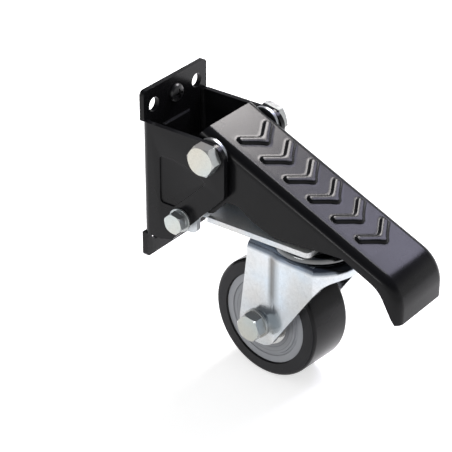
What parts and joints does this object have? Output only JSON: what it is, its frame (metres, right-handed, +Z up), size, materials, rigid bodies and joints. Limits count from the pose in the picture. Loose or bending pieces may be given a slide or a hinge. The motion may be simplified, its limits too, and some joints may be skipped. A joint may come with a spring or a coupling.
{
  "type": "retractable swivel caster",
  "caption": "Screw-on lifting caster: folded bracket, foot pedal with a cam, hinged carrier plate and a ball-race swivel fork with a small wheel.",
  "frame": {"origin": "middle of the mounting plate's flat back face", "axes": "+X out of the leg through the bracket towards the pedal's tip, +Y along the pivot bolts towards their nuts, +Z up"},
  "size_m": [0.1563, 0.0645, 0.1431],
  "materials": {
    "black_coat": "semi-gloss black powder coat",
    "black_screw": "black oxide",
    "zinc_sheet": "bright zinc plated pressed steel",
    "zinc_bolt": "zinc plated",
    "bearing_steel": "ground and polished",
    "seal_brown": "moulded seal",
    "grey_core": "satin moulded grey",
    "black_tread": "satin black polyurethane"
  },
  "bodies": {
    "bracket": {"mount_bracket": "black_coat", "mounting_screw": "black_screw", "upper_pivot_bolt": "zinc_bolt", "upper_pivot_nut": "zinc_bolt", "pivot_spacer_left": "zinc_bolt", "pivot_spacer_right": "zinc_bolt", "lower_pivot_bolt": "zinc_bolt", "lower_pivot_nut": "zinc_bolt", "lower_pivot_washers": "zinc_bolt"},
    "pedal": {"pedal_lever": "black_coat"},
    "carrier": {"carrier_plate": "zinc_sheet", "upper_race": "zinc_sheet", "kingpin": "zinc_sheet", "lower_race": "zinc_sheet"},
    "fork": {"fork": "zinc_sheet", "upper_race_balls": "bearing_steel", "lower_race_balls": "bearing_steel", "axle_bolt": "zinc_bolt", "axle_nut": "zinc_bolt", "axle_washers": "zinc_bolt", "axle_sleeve": "zinc_bolt", "hub_spacers": "zinc_bolt", "bearing_inner_rings": "bearing_steel"},
    "wheel": {"wheel_core": "grey_core", "tyre": "black_tread", "bearing_outer_rings": "bearing_steel", "bearing_balls": "bearing_steel", "bearing_seals": "seal_brown"}
  },
  "joints": [
    {"name": "pedal_lift", "type": "hinge", "parent": "bracket", "child": "pedal", "pos_m": [0.0415, 0, 0.023], "axis": [0, -1, 0], "range_deg": [0, 60]},
    {"name": "carrier_lift", "type": "hinge", "parent": "bracket", "child": "carrier", "pos_m": [0.0245, 0, -0.0169], "axis": [0, -1, 0], "range_deg": [0, 12]},
    {"name": "swivel", "type": "hinge", "parent": "carrier", "child": "fork", "pos_m": [0.089, 0, -0.0195], "axis": [0, 0, 1], "continuous": true},
    {"name": "wheel_spin", "type": "hinge", "parent": "fork", "child": "wheel", "pos_m": [0.06726, 0.00163, -0.0651], "axis": [0.075, 0.9972, 0], "continuous": true}
  ],
  "couplings": [
    {"joint": "carrier_lift", "follows": "pedal_lift", "ratio": 0.2}
  ]
}
